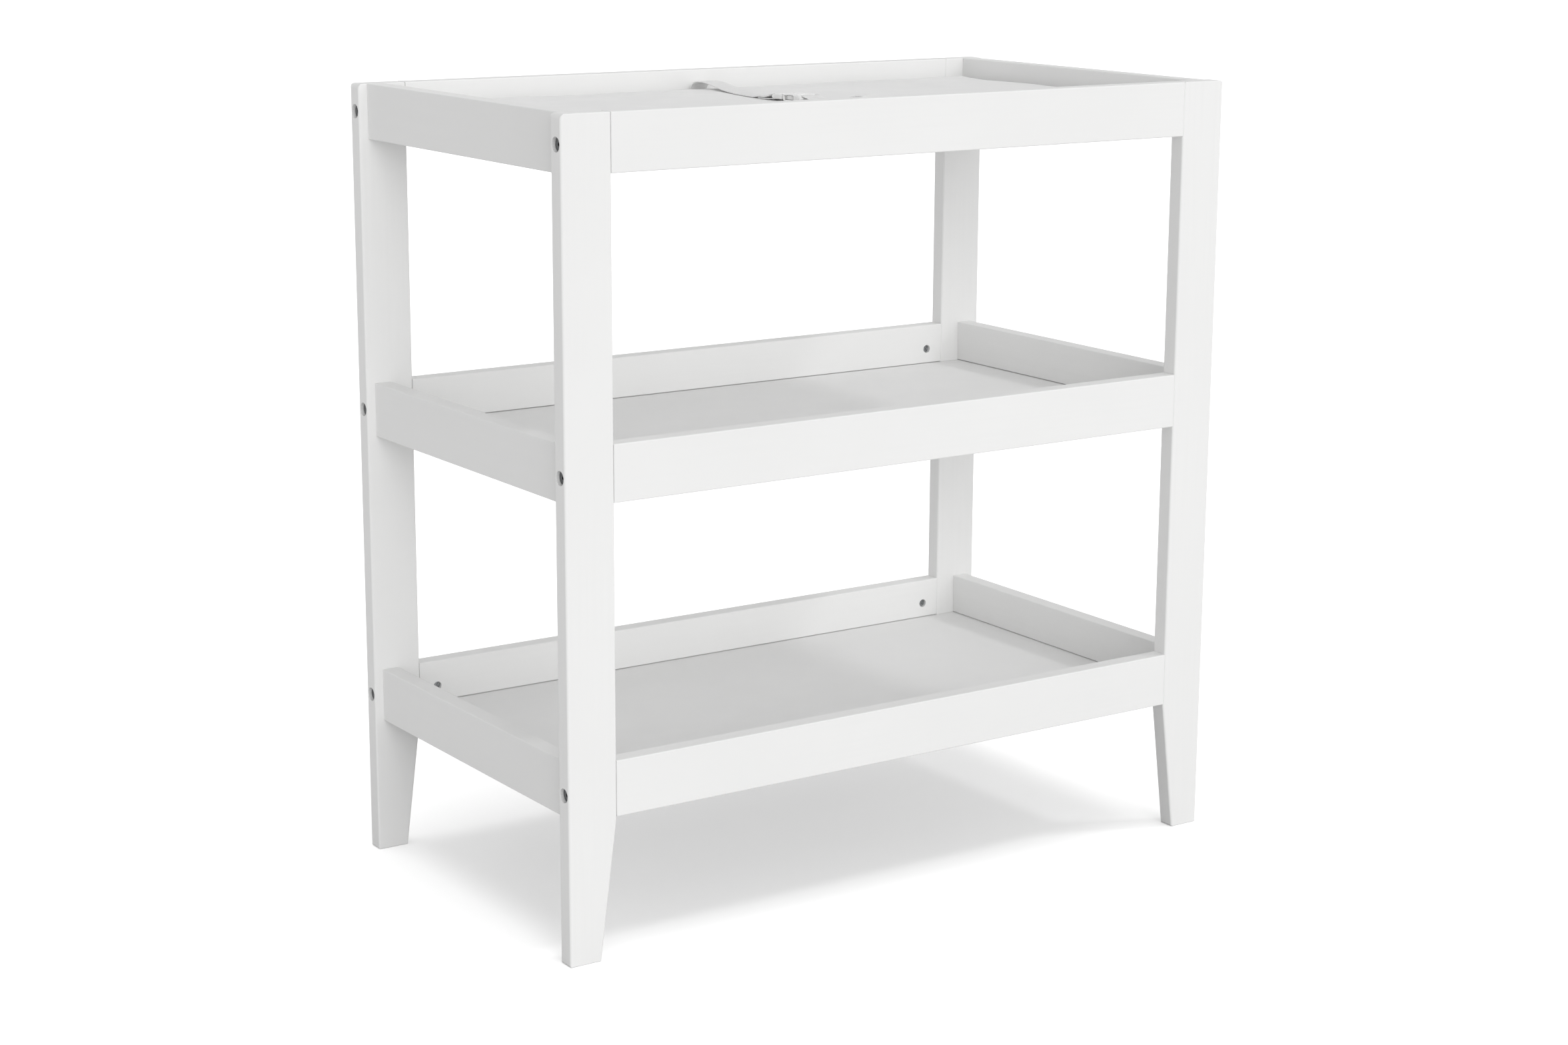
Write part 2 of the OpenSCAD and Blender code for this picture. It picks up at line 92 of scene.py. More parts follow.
class Paint:
    """A node material with one Principled shader, built by short calls."""

    def __init__(self, name, colour, roughness, **constants):
        self.material = bpy.data.materials.new(name)
        self.material.use_nodes = True
        self.tree = self.material.node_tree
        self.shader = self.tree.nodes["Principled BSDF"]
        self.shader.inputs["Base Color"].default_value = (*colour, 1)
        self.shader.inputs["Roughness"].default_value = roughness
        for socket, value in constants.items():
            self.shader.inputs[socket.replace("_", " ")].default_value = value
        self.colour, self.normal = colour, None
        self.place = self.add("ShaderNodeTexCoord").outputs["Object"]

    def add(self, kind, links=(), values=(), **settings):
        node = self.tree.nodes.new(kind)
        for key, value in settings.items():
            setattr(node, key, value)
        for socket, value in dict(values).items():
            node.inputs[socket].default_value = value
        for socket, source in dict(links).items():
            self.tree.links.new(source, node.inputs[socket])
        return node

    def math(self, operation, *values):
        return math_node(self.tree, operation, *values)

    def waves(self, source, length):
        """A sine of the source, from -1 to 1, that repeats at every length."""
        return self.math("SINE", self.math("MULTIPLY", source, 2 * math.pi / length))

    def spread(self, source, low, high, start=0.0, end=1.0):
        """Goes from low to high as source goes from start to end."""
        node = self.add("ShaderNodeMapRange", {"Value": source},
                        {"From Min": start, "From Max": end, "To Min": low, "To Max": high})
        return node.outputs["Result"]

    def noise(self, per_metre, detail=2.0, stretch=(1, 1, 1), rough=0.5):
        """Smooth noise; stretch gives the share of per_metre along each axis."""
        vector = self.place
        if tuple(stretch) != (1, 1, 1):
            vector = self.add("ShaderNodeMapping", {"Vector": vector}, {"Scale": stretch}).outputs[0]
        return self.add("ShaderNodeTexNoise", {"Vector": vector},
                        {"Scale": per_metre, "Detail": detail, "Roughness": rough}).outputs["Fac"]

    def cells(self, per_metre, feature="F1"):
        """Distance to the nearest of many scattered points."""
        return self.add("ShaderNodeTexVoronoi", {"Vector": self.place}, {"Scale": per_metre},
                        feature=feature).outputs["Distance"]

    def attribute(self, name):
        return self.add("ShaderNodeAttribute", attribute_name=name).outputs["Fac"]

    def tint(self, source, other, start=0.35, end=0.65):
        """Goes from the colour so far to the other one where source rises from start to end."""
        share = self.spread(source, 0, 1, start, end)
        mix = self.add("ShaderNodeMix", {"Factor": share}, data_type="RGBA")
        linked = self.shader.inputs["Base Color"].links
        if linked:
            self.tree.links.new(linked[0].from_socket, mix.inputs[MIX_A])
        else:
            mix.inputs[MIX_A].default_value = (*self.colour, 1)
        mix.inputs[MIX_B].default_value = (*other, 1)
        self.tree.links.new(mix.outputs[MIX_RESULT], self.shader.inputs["Base Color"])

    def sheen(self, source, low, high, start=0.3, end=0.7):
        """Roughness from low to high as source goes from start to end."""
        self.tree.links.new(self.spread(source, low, high, start, end), self.shader.inputs["Roughness"])

    def bump(self, source, height_mm, strength=1.0):
        """Relief on top of the relief so far."""
        node = self.add("ShaderNodeBump", {"Height": source},
                        {"Strength": strength, "Distance": height_mm * MM})
        if self.normal is not None:
            self.tree.links.new(self.normal, node.inputs["Normal"])
        self.normal = node.outputs["Normal"]
        self.tree.links.new(self.normal, self.shader.inputs["Normal"])


def shade(colour, factor):
    return tuple(c * factor for c in colour)


PAINT_WHITE = (0.855, 0.855, 0.850)
PANEL_WHITE = (0.870, 0.870, 0.866)
VINYL_WHITE = (0.855, 0.855, 0.852)
WEBBING_WHITE = (0.880, 0.880, 0.875)
PLASTIC_WHITE = (0.850, 0.850, 0.845)
THREAD_WHITE = (0.80, 0.80, 0.79)
BOLT_GREY, NUT_GREY = (0.20, 0.205, 0.21), (0.42, 0.43, 0.44)
BEECH_BROWN, FOAM_CREAM = (0.56, 0.36, 0.19), (0.80, 0.76, 0.62)

ACROSS_GRAIN, ALONG_GRAIN = 1.0, 0.03  # how fast the paint's fine texture changes, as a share
TURNING_PITCH = 0.35 * MM              # rings left by the lathe
VINYL_GRAINS = 1150                    # per metre
FOAM_CELLS = 1500                      # per metre
WEFT, WARP = 1.5 * MM, 1.8 * MM        # repeats of the weave along and across the belt
THREAD_TWIST = 0.45 * MM

# The recipes below read noise(per metre, detail), tint(source, colour, start, end), sheen(source, low, high)
# and bump(source, height in mm, strength).


def painted_wood(name, along):
    """Satin white paint on wood whose grain runs along axis 0, 1 or 2."""
    fine = [ACROSS_GRAIN] * 3
    fine[along] = ALONG_GRAIN
    p = Paint(name, PAINT_WHITE, 0.42, IOR=1.48, Specular_IOR_Level=0.2)
    p.tint(p.noise(3.2, 3), shade(PAINT_WHITE, 0.975))
    p.tint(p.noise(190, 4, fine), shade(PAINT_WHITE, 0.985), 0.45, 0.75)
    p.sheen(p.noise(38, 4), 0.34, 0.48)
    p.bump(p.noise(9, 2), 0.25, 0.5)
    p.bump(p.noise(260, 5, fine, 0.6), 0.05, 0.55)
    p.bump(p.noise(900, 2), 0.03, 0.5)
    return p.material


def painted_board():
    """Satin white paint on a smooth fibreboard panel."""
    p = Paint("painted_board", PANEL_WHITE, 0.5, IOR=1.46)
    p.tint(p.noise(2.6, 3), shade(PANEL_WHITE, 0.97))
    p.tint(p.noise(420, 3), shade(PANEL_WHITE, 0.985), 0.5, 0.8)
    p.sheen(p.noise(30, 4), 0.42, 0.56)
    p.bump(p.noise(7, 1), 0.3, 0.4)
    p.bump(p.noise(1100, 3), 0.03, 0.6)
    return p.material


def plated_steel(name, colour, along, centre, pitch, roughness):
    """Plated steel with fine turning rings round each fastener, whose axis runs along axis 0 or 1."""
    p = Paint(name, colour, roughness, Metallic=1.0)
    split = p.add("ShaderNodeSeparateXYZ", {"Vector": p.place}).outputs
    side = p.math("SUBTRACT", p.math("ABSOLUTE", split[1 - along]), centre[0])
    height = p.math("SUBTRACT", split[2], centre[1] - pitch / 2)
    up = p.math("SUBTRACT", p.math("MODULO", height, pitch), pitch / 2)
    radius = p.math("SQRT", p.math("ADD", p.math("MULTIPLY", side, side), p.math("MULTIPLY", up, up)))
    rings = p.waves(radius, TURNING_PITCH)
    p.tint(p.noise(700, 4), shade(colour, 0.6), 0.4, 0.8)
    p.tint(p.noise(2600, 2), shade(colour, 1.5), 0.55, 0.8)
    p.sheen(p.noise(900, 3), roughness - 0.1, roughness + 0.15)
    p.bump(rings, 0.012, 0.6)
    p.bump(p.noise(3200, 2), 0.01, 0.5)
    return p.material


def raw_beech():
    """Bare beech for the dowels, with its grain along x."""
    p = Paint("raw_beech", BEECH_BROWN, 0.6)
    p.tint(p.noise(300, 4, (0.06, 1, 1)), shade(BEECH_BROWN, 0.7))
    p.sheen(p.noise(500, 3), 0.5, 0.72)
    p.bump(p.noise(1200, 4, (0.05, 1, 1)), 0.05, 0.6)
    return p.material


def open_foam():
    """Cream open-cell foam."""
    p = Paint("open_foam", FOAM_CREAM, 0.9)
    p.tint(p.noise(90, 4), shade(FOAM_CREAM, 0.88))
    # Painted shade: darker towards the middle of each open cell, in the hollows that the bump below sinks.
    p.tint(p.cells(FOAM_CELLS), shade(FOAM_CREAM, 0.6), 0.5, 0.1)
    p.sheen(p.noise(600, 2), 0.82, 0.95)
    p.bump(p.cells(FOAM_CELLS), 0.3, 0.7)
    return p.material


def soft_vinyl():
    """White vinyl with a fine pressed leather grain."""
    p = Paint("soft_vinyl", VINYL_WHITE, 0.45, IOR=1.5)
    p.tint(p.noise(5, 4), shade(VINYL_WHITE, 0.96))
    p.tint(p.cells(VINYL_GRAINS, "SMOOTH_F1"), shade(VINYL_WHITE, 0.985), 0.35, 0.75)
    p.sheen(p.noise(24, 5), 0.34, 0.50)
    p.bump(p.noise(60, 3), 0.25, 0.35)
    p.bump(p.cells(VINYL_GRAINS, "SMOOTH_F1"), 0.10, 0.5)
    p.bump(p.noise(420, 4), 0.10, 0.4)
    return p.material


def moulded_plastic():
    """Glossy white moulded plastic, a little rippled by its mould."""
    p = Paint("moulded_plastic", PLASTIC_WHITE, 0.16, IOR=1.5, Coat_Weight=0.2, Coat_Roughness=0.08,
              Subsurface_Weight=0.4, Subsurface_Radius=(1, 1, 1), Subsurface_Scale=2 * MM)
    p.tint(p.noise(120, 3), shade(PLASTIC_WHITE, 0.97))
    p.sheen(p.noise(240, 4), 0.11, 0.24)
    p.bump(p.noise(130, 2), 0.06, 0.5)
    p.bump(p.noise(2600, 2), 0.006, 0.5)
    return p.material


def woven_webbing():
    """White polyester webbing: a plain weave that follows the belt's own length and width."""
    p = Paint("woven_webbing", WEBBING_WHITE, 0.72, Sheen_Weight=0.15, Sheen_Roughness=0.4,
              Subsurface_Weight=0.8, Subsurface_Radius=(1, 1, 1), Subsurface_Scale=4 * MM)
    along = p.waves(p.attribute("along"), WEFT)
    across = p.waves(p.attribute("across"), WARP)
    weave = p.spread(p.math("MULTIPLY", along, across), 0, 1, -1, 1)
    ribs = p.spread(p.math("ABSOLUTE", across), 0, 1)
    # Painted shade: the webbing is darker in the weave's low points, the recesses that the bump below sinks.
    p.tint(weave, shade(WEBBING_WHITE, 0.80), 0.35, 0.0)
    p.tint(p.noise(160, 3), shade(WEBBING_WHITE, 0.95))
    p.sheen(weave, 0.80, 0.62, 0.0, 1.0)
    p.bump(ribs, 0.10, 0.6)
    p.bump(weave, 0.22, 0.8)
    p.bump(p.noise(5200, 2), 0.03, 0.5)
    return p.material


def sewing_thread():
    """White polyester thread with a fine twist."""
    p = Paint("sewing_thread", THREAD_WHITE, 0.55, Sheen_Weight=0.2)
    twist = p.waves(p.attribute("along"), THREAD_TWIST)
    # Painted shade: the thread is darker in the grooves of its twist, where the bump below sinks it.
    p.tint(twist, shade(THREAD_WHITE, 0.82), 0.2, -1.0)
    p.sheen(p.noise(2200, 2), 0.45, 0.65)
    p.bump(twist, 0.05, 0.7)
    return p.material


# Where the fasteners are, in metres: their distance from the table's middle, and the height of the top ones
BOLT_SIDE, NUT_SIDE, FASTENER_UP, SHELF_PITCH = 0.2315, 0.3665, 0.88825, 0.3475
WOOD = [painted_wood(f"painted_wood_{name}", axis) for axis, name in enumerate(("wide", "deep", "upright"))]
BOARD = painted_board()
BOLT = plated_steel("bolt_steel", BOLT_GREY, 0, (BOLT_SIDE, FASTENER_UP), SHELF_PITCH, 0.38)
NUT = plated_steel("nut_steel", NUT_GREY, 1, (NUT_SIDE, FASTENER_UP), SHELF_PITCH, 0.34)
BEECH, FOAM, VINYL = raw_beech(), open_foam(), soft_vinyl()
PLASTIC, WEBBING, THREAD = moulded_plastic(), woven_webbing(), sewing_thread()


def dress(obj, material):
    obj.data.materials.clear()
    obj.data.materials.append(material)


def node_material(name):
    if name.endswith("_leg"):
        return WOOD[2]
    if "side_rail" in name:
        return WOOD[1]
    if "_rail_" in name:
        return WOOD[0]
    if name.startswith("shelf_panel"):
        return BOARD
    return {"leg_bolts": BOLT, "barrel_nuts": NUT, "rail_dowels": BEECH, "side_frame_dowels": BEECH,
            "pad_foam": FOAM, "pad_cover": VINYL, "pad_base_sheet": VINYL,
            "strap_back": WEBBING, "strap_front": WEBBING}.get(name, PLASTIC)


for node_name, node in NODES.items():
    dress(node, node_material(node_name))

# ---------------------------------------------------------------- mesh helpers


def shade_smooth(obj):
    obj.data.polygons.foreach_set("use_smooth", [True] * len(obj.data.polygons))


def new_object(name, points, faces, material):
    mesh = bpy.data.meshes.new(name)
    mesh.from_pydata([tuple(p) for p in points], [], [tuple(f) for f in faces])
    mesh.validate()
    mesh.update()
    obj = bpy.data.objects.new(name, mesh)
    shade_smooth(obj)
    bpy.context.scene.collection.objects.link(obj)
    dress(obj, material)
    return obj


def add_values(obj, name, values):
    """A number for each point of the mesh, which a material can read."""
    layer = obj.data.attributes.new(name, "FLOAT", "POINT")
    layer.data.foreach_set("value", np.asarray(values, np.float32))


def get_points(mesh):
    flat = np.empty(len(mesh.vertices) * 3)
    mesh.vertices.foreach_get("co", flat)
    return flat.reshape(-1, 3)


def set_points(mesh, points):
    mesh.vertices.foreach_set("co", np.asarray(points, np.float32).ravel())
    mesh.update()


def apply_modifiers(obj):
    """Replaces obj's mesh by what its modifiers make of it."""
    evaluated = obj.evaluated_get(bpy.context.evaluated_depsgraph_get())
    made = bpy.data.meshes.new_from_object(evaluated)
    old, obj.data = obj.data, made
    obj.modifiers.clear()
    bpy.data.meshes.remove(old)


def fix_normals(obj):
    """Turns every face of a closed mesh outward."""
    mesh = bmesh.new()
    mesh.from_mesh(obj.data)
    bmesh.ops.recalc_face_normals(mesh, faces=mesh.faces)
    mesh.to_mesh(obj.data)
    mesh.free()


def smoothstep(x, start, end):
    t = np.clip((np.asarray(x, float) - start) / (end - start), 0, 1)
    return t * t * (3 - 2 * t)


SPLINE_STEPS = 24


def smooth_line(points, step):
    """A Catmull-Rom curve through the points, resampled at an even step. Returns points."""
    pts = np.asarray(points, float)
    pts = np.vstack([2 * pts[0] - pts[1], pts, 2 * pts[-1] - pts[-2]])
    fine = []
    for p0, p1, p2, p3 in zip(pts[:-3], pts[1:-2], pts[2:-1], pts[3:]):
        knots = np.cumsum([0] + [max(np.linalg.norm(b - a), 1e-9) ** 0.5
                                 for a, b in ((p0, p1), (p1, p2), (p2, p3))])
        for t in np.linspace(knots[1], knots[2], SPLINE_STEPS, endpoint=False):
            a1, a2, a3 = (((k1 - t) * a + (t - k0) * b) / (k1 - k0) for a, b, k0, k1 in
                          ((p0, p1, knots[0], knots[1]), (p1, p2, knots[1], knots[2]),
                           (p2, p3, knots[2], knots[3])))
            b1 = ((knots[2] - t) * a1 + (t - knots[0]) * a2) / (knots[2] - knots[0])
            b2 = ((knots[3] - t) * a2 + (t - knots[1]) * a3) / (knots[3] - knots[1])
            fine.append(((knots[2] - t) * b1 + (t - knots[1]) * b2) / (knots[2] - knots[1]))
    fine = np.array(fine + [pts[-2]])
    run = run_length(fine)
    even = np.linspace(0, run[-1], max(2, round(run[-1] / step) + 1))
    return np.stack([np.interp(even, run, fine[:, k]) for k in range(fine.shape[1])], 1)


def run_length(points):
    """Distance along a line of points, at each of them."""
    return np.concatenate([[0], np.cumsum(np.linalg.norm(np.diff(points, axis=0), axis=1))])


def unit(v):
    """The vectors of v at length 1."""
    v = np.asarray(v, float)
    return v / np.maximum(np.linalg.norm(v, axis=-1, keepdims=True), 1e-12)


def sweep_rings(rings, closed=False):
    """Faces of a tube through rings of points, with its two ends capped unless it is closed."""
    count, around = rings.shape[:2]
    index = np.arange(count * around).reshape(count, around)
    faces = []
    for i in range(count if closed else count - 1):
        a, b = index[i], index[(i + 1) % count]
        faces += [(a[k], a[(k + 1) % around], b[(k + 1) % around], b[k]) for k in range(around)]
    if not closed:
        faces += [tuple(index[0][::-1]), tuple(index[-1])]
    return faces


def round_rings(track, side, up, radius, sides):
    """Rings of points round a track, each in the plane of its side and up vectors."""
    turn = np.linspace(0, 2 * math.pi, sides, endpoint=False)
    return (track[:, None] + radius * (np.cos(turn)[None, :, None] * side[:, None]
                                       + np.sin(turn)[None, :, None] * up[:, None]))


# ---------------------------------------------------------------- safety belt

PAD_TOP, PAD_FLOOR = 900.0, 870.8
PAD_W, PAD_D = 826.0, 428.0
STRAP_W, STRAP_T, STRAP_END_X = 25.0, 1.4, 7.0
TURN = math.radians(5)
BUCKLE_AT = np.array((-21.0, -28.5, 905.2))
BAR_R, BAR_Z, LOOP_R = 2.0, 5.2, 3.0
SOCKET_BAR_Y, PLUG_BAR_Y = -33.0, 17.0
BELT_DROP_Y = PAD_D / 2 + 3.3
BELT_FLOOR = PAD_FLOOR - PAD_TOP - STRAP_T / 2
BELT_TUCK = 50
BELT_STEP = 1.2
LOOP_STEPS = 8
SQUARE_UNTIL = 6        # the belt lies square to the buckle's bar up to here
# The belt's side view in pairs: mm from the bar, and mm above the pad's top
FOLD_END = [(32, 1.1), (14, 1.4), (6, 1.9)]
BACK_RUN = [(9, 6.2), (18, 3.4), (32, 2.9), (44, 1.5), (70, 1.2), (105, 1.4), (135, 2.6), (160, 4.8),
            (185, 6.9), (203, 7.2), (215, 6.2), (223, 3.4)]
FRONT_RUN = [(9, 6.4), (18, 3.6), (32, 3), (44, 2.6), (56, 4.6), (68, 9.4), (80, 13.4), (92, 13.9),
             (106, 11.2), (122, 8), (138, 5.6), (149, 3.4)]
# Over the pad's edge and in under it: mm past the edge, and mm above the pad's top or above BELT_FLOOR
EDGE_TURN = [(-0.6, -2), (0, -6)]
UNDER_TURN = [(0, 3.2), (-0.5, 1.3), (-1.6, 0.3), (-3, 0), (-BELT_TUCK, 0)]
# The webbing's cross-section, as shares of half its width and half its thickness
BELT_FLAT, BELT_FLAT_STEPS, BELT_SHOULDER = 0.93, 7, 0.98
BELT_RIM = [(0.985, -0.72), (1.0, 0.0), (0.985, 0.72)]


def on_buckle(y):
    """A point on the buckle's middle line, seen from above."""
    return BUCKLE_AT[:2] + y * np.array((-math.sin(TURN), math.cos(TURN)))


def belt_x(s, bar_x, slope, drop):
    """x of the belt's middle line at s mm from the bar: along the buckle, then over to STRAP_END_X."""
    u = np.clip(np.asarray(s, float) / drop, 0, 1)
    return bar_x + slope * s * (1 - u) ** 2 + (STRAP_END_X - bar_x) * u * u * (3 - 2 * u)


def belt_route(bar, way, run):
    """One half of the belt at even steps: middle line, unit vectors across and up, and distance from the bar.

    All in mm. way is 1 for the back half and -1 for the front one.
    """
    drop = BELT_DROP_Y - way * bar[1]
    slope = -way * math.tan(TURN)
    loop = [(LOOP_R * math.cos(a), BAR_Z + LOOP_R * math.sin(a))
            for a in (math.radians(270 - 180 * i / LOOP_STEPS) for i in range(LOOP_STEPS + 1))]
    edge = [(drop + past, z) for past, z in EDGE_TURN]
    under = [(drop + past, BELT_FLOOR + z) for past, z in UNDER_TURN]
    line = smooth_line(FOLD_END + loop + run + edge + under, BELT_STEP)
    s, z = line[:, 0], line[:, 1]
    middle = np.stack([belt_x(s, bar[0], slope, drop), bar[1] + way * s, PAD_TOP + z], 1)
    lean = (belt_x(s + 1, bar[0], slope, drop) - belt_x(s - 1, bar[0], slope, drop)) / 2
    lean = np.where(s < SQUARE_UNTIL, slope, np.where(s > drop - 1, 0, lean))
    along = unit(np.gradient(middle, axis=0))
    across = unit(np.stack([np.ones_like(s), -way * lean, np.zeros_like(s)], 1))
    up = unit(np.cross(across, along))
    return middle, across, up, s


def ribbon_outline():
    """Cross-section of the webbing, as shares of half its width and half its thickness."""
    outline = []
    for side in (1, -1):
        xs = np.linspace(-BELT_FLAT, BELT_FLAT, BELT_FLAT_STEPS) * side
        ys = [BELT_SHOULDER] + [1.0] * (BELT_FLAT_STEPS - 2) + [BELT_SHOULDER]
        outline += [(x, -side * y) for x, y in zip(xs, ys)]
        outline += [(side * x, side * y) for x, y in BELT_RIM]
    return np.array(outline)


def belt_half(name, route):
    middle, across, up, _ = route
    outline = ribbon_outline()
    rings = (middle[:, None] + across[:, None] * outline[None, :, :1] * STRAP_W / 2
             + up[:, None] * outline[None, :, 1:] * STRAP_T / 2)
    obj = new_object(name, rings.reshape(-1, 3) * MM, sweep_rings(rings), WEBBING)
    length = run_length(middle)
    add_values(obj, "along", np.repeat(length, len(outline)) * MM)
    add_values(obj, "across", np.tile(outline[:, 0] * STRAP_W / 2, len(length)) * MM)
    fix_normals(obj)
    return obj


THREAD_R, THREAD_SIDES, THREAD_TAPER = 0.28, 6, 0.55
NEAR_UP = (0.05, 0.03, 1)               # never along a stitch
STITCH_LEN, STITCH_GAP, STITCH_POINTS = 2.4, 0.7, 7
STITCH_RISE, STITCH_DIVE = 0.9, 2.4     # in thread radii: over the webbing mid-stitch, and down at its ends
BOX_START, BOX_END, BOX_HALF = 13.0, 26.0, 8.5


def belt_spot(route, s, x, rise):
    """The point on the belt's outer face at length s along it and x from its middle, raised by rise."""
    middle, across, up, _ = route
    run = run_length(middle)
    spot, side, out = (np.array([np.interp(s, run, v[:, k]) for k in range(3)]) for v in (middle, across, up))
    return spot + unit(side) * x + unit(out) * rise


def top_of_loop(route):
    """Index of the point straight above the bar."""
    s, z = route[3], route[0][:, 2]
    near = np.where(np.abs(s) < 1.0)[0]
    return int(near[np.argmax(z[near])])


def thread_tube(track):
    along = unit(np.gradient(track, axis=0))
    side = unit(np.cross(along, NEAR_UP))
    radius = THREAD_R * np.array([THREAD_TAPER] + [1.0] * (len(track) - 2) + [THREAD_TAPER])
    rings = round_rings(track, side, np.cross(side, along), radius[:, None, None], THREAD_SIDES)
    return rings.reshape(-1, 3), sweep_rings(rings), np.repeat(run_length(track), THREAD_SIDES)


def stitch_rows(name, route, rows, lift):
    """Stitches along straight rows. A row's ends are (s, x): mm along the belt, and mm from its middle."""
    points, faces, lengths = [], [], []
    for (s0, x0), (s1, x1) in rows:
        row = math.hypot(s1 - s0, x1 - x0)
        count = max(1, round(row / (STITCH_LEN + STITCH_GAP)))
        gap = STITCH_GAP * count / row / 2
        for k in range(count):
            track = []
            for j, t in enumerate(np.linspace((k + gap) / count, (k + 1 - gap) / count, STITCH_POINTS)):
                from_mid = abs(2 * j / (STITCH_POINTS - 1) - 1)
                rise = lift + THREAD_R * (STITCH_RISE - STITCH_DIVE * from_mid ** 3)
                track.append(belt_spot(route, s0 + (s1 - s0) * t, x0 + (x1 - x0) * t, rise))
            tube, tube_faces, run = thread_tube(np.array(track))
            faces += [tuple(i + len(points) for i in f) for f in tube_faces]
            points += list(tube)
            lengths += list(run)
    obj = new_object(name, np.array(points) * MM, faces, THREAD)
    add_values(obj, "along", np.array(lengths) * MM)
    fix_normals(obj)
    return obj


def fold_stitching(name, route, body):
    """A sewn box with a cross on it, through both layers of the belt's fold, just past the bar."""
    first = run_length(route[0])[top_of_loop(route)]
    near, far, half = first + BOX_START, first + BOX_END, BOX_HALF
    corners = [(near, -half), (far, -half), (far, half), (near, half)]
    cross = [(corners[0], corners[2]), (corners[1], corners[3])]
    rows = list(zip(corners, corners[1:] + corners[:1])) + cross
    obj = stitch_rows(name, route, rows, STRAP_T / 2)
    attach(obj, body)


plug_bar, socket_bar = on_buckle(PLUG_BAR_Y), on_buckle(SOCKET_BAR_Y)
BACK_ROUTE = belt_route(plug_bar, 1, BACK_RUN)
FRONT_ROUTE = belt_route(socket_bar, -1, FRONT_RUN)
belt_back = belt_half("belt_back", BACK_ROUTE)
belt_front = belt_half("belt_front", FRONT_ROUTE)
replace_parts(belt_back, "strap_back")
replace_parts(belt_front, "strap_front")

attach(belt_front, "pad")
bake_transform(belt_back)

fold_stitching("belt_stitching_back", BACK_ROUTE, "plug")
fold_stitching("belt_stitching_front", FRONT_ROUTE, "pad")

# ---------------------------------------------------------------- buckle, from distance fields in mm


def grow(q):
    """Distance to a corner, from the distances to the faces that meet there."""
    return np.linalg.norm(np.maximum(q, 0), axis=-1) + np.minimum(q.max(axis=-1), 0)


def field_box(p, centre, half, r):
    return grow(np.abs(p - np.array(centre)) - (np.array(half) - r)) - r


def field_slab(p, centre, half, plan_r, edge_r, crown=0.0):
    """A rounded rectangle seen from above, with rounded rims, and lower at its sides by crown."""
    plan = grow(np.abs(p[..., :2] - np.array(centre[:2])) - (np.array(half[:2]) - plan_r)) - plan_r
    height = half[2] - crown * ((p[..., 0] - centre[0]) / half[0]) ** 2
    rise = np.abs(p[..., 2] - centre[2]) - height
    return grow(np.stack([plan, rise], -1) + edge_r) - edge_r


def field_rod(p, a, b, r):
    a, b = np.array(a, float), np.array(b, float)
    share = np.clip(((p - a) @ (b - a)) / ((b - a) @ (b - a)), 0, 1)
    return np.linalg.norm(p - a - share[..., None] * (b - a), axis=-1) - r


def field_post(p, x, y, r):
    """An endless upright cylinder."""
    return np.hypot(p[..., 0] - x, p[..., 1] - y) - r


def joined(a, b, k=0.6):
    """Both shapes, meeting in a fillet of about k mm."""
    h = np.clip(0.5 + 0.5 * (b - a) / k, 0, 1)
    return b * (1 - h) + a * h - k * h * (1 - h)


def cut(a, b, k=0.35):
    """The first shape without the second, its new rim softened by about k mm."""
    return -joined(-a, b, k)


def mirrored(p):
    """Makes one field on the right count on the left too."""
    return np.concatenate([np.abs(p[..., :1]), p[..., 1:]], -1)


# The buckle's shapes, in mm on its own axes. y points to the plug, and the socket's mouth is at 0.
# A slab is (middle, half size, corner radius from above, rim radius, crown), a box is (middle, half size,
# corner radius), and a post is (x, y, radius).
SOCKET_BODY = ((0, -17.5, 0), (16, 17.5, 4.8), 5, 2.4, 0.9)
SOCKET_WAIST = (27.2, -13, 14.0)
SOCKET_ROOM = ((0, -12, 0), (13.5, 13.0, 2.5), 0.4)
SIDE_WINDOW = ((16, -13, 0), (4, 9, 2.5), 0.8)
SOCKET_EYE = ((0, SOCKET_BAR_Y, 0), (13.5, 7.5, 9), 1.2)
SOCKET_BAR_X = 14.2
THUMB_Y, THUMB_W, THUMB_D, THUMB_FLOOR = -14, 7.0, 4.5, 4.35
SOCKET_LINES, SOCKET_LINE_X, SOCKET_LINE_Z, SOCKET_LINE_R = (-3.2, -5.0), 9, 5.05, 0.55

PLUG_BODY = ((0, 9.8, 0), (15, 9.2, 3.2), 3, 1.8, 0.4)
PLUG_EYE = ((0, 15.5, 0), (13, 5, 9), 1.0)
PLUG_BAR_X = 13.6
PIVOT_X, PIVOT_Y, PIVOT_R, PIVOT_ROOM_R, PIVOT_ROOM_Z, PIVOT_LID = 10.3, 2.0, 2.0, 2.35, 2.4, 9
TONGUE = ((0, -9, 0), (2.5, 11, 2), 1.2, 0.7)
TONGUE_GROOVE = ((0, -9, 2.4), (1.2, 7, 0.9), 0.3)
PLUG_RIBS, PLUG_RIB_X, PLUG_RIB_Z, PLUG_RIB_R = (3.6, 5.4, 7.2), 7.5, 2.75, 0.62

PRONG_Z, PRONG_FLAT = 2.1, 0.5
PRONG_ARM = ((PIVOT_X, -8, 0), (1.5, 10, PRONG_Z), 1.1, PRONG_FLAT)
PRONG_WING = ((11.0, -12.5, 0), (2.2, 5.5, PRONG_Z), 1.4, 0.6)
PRONG_GRIPS, PRONG_GRIP_X, PRONG_GRIP_Z, PRONG_GRIP_R = (-9.4, -11.0, -12.6, -14.2), 13.55, 3, 0.55


def cross_rod(p, x, y, z, r):
    """A rod from -x to x."""
    return field_rod(p, (-x, y, z), (x, y, z), r)


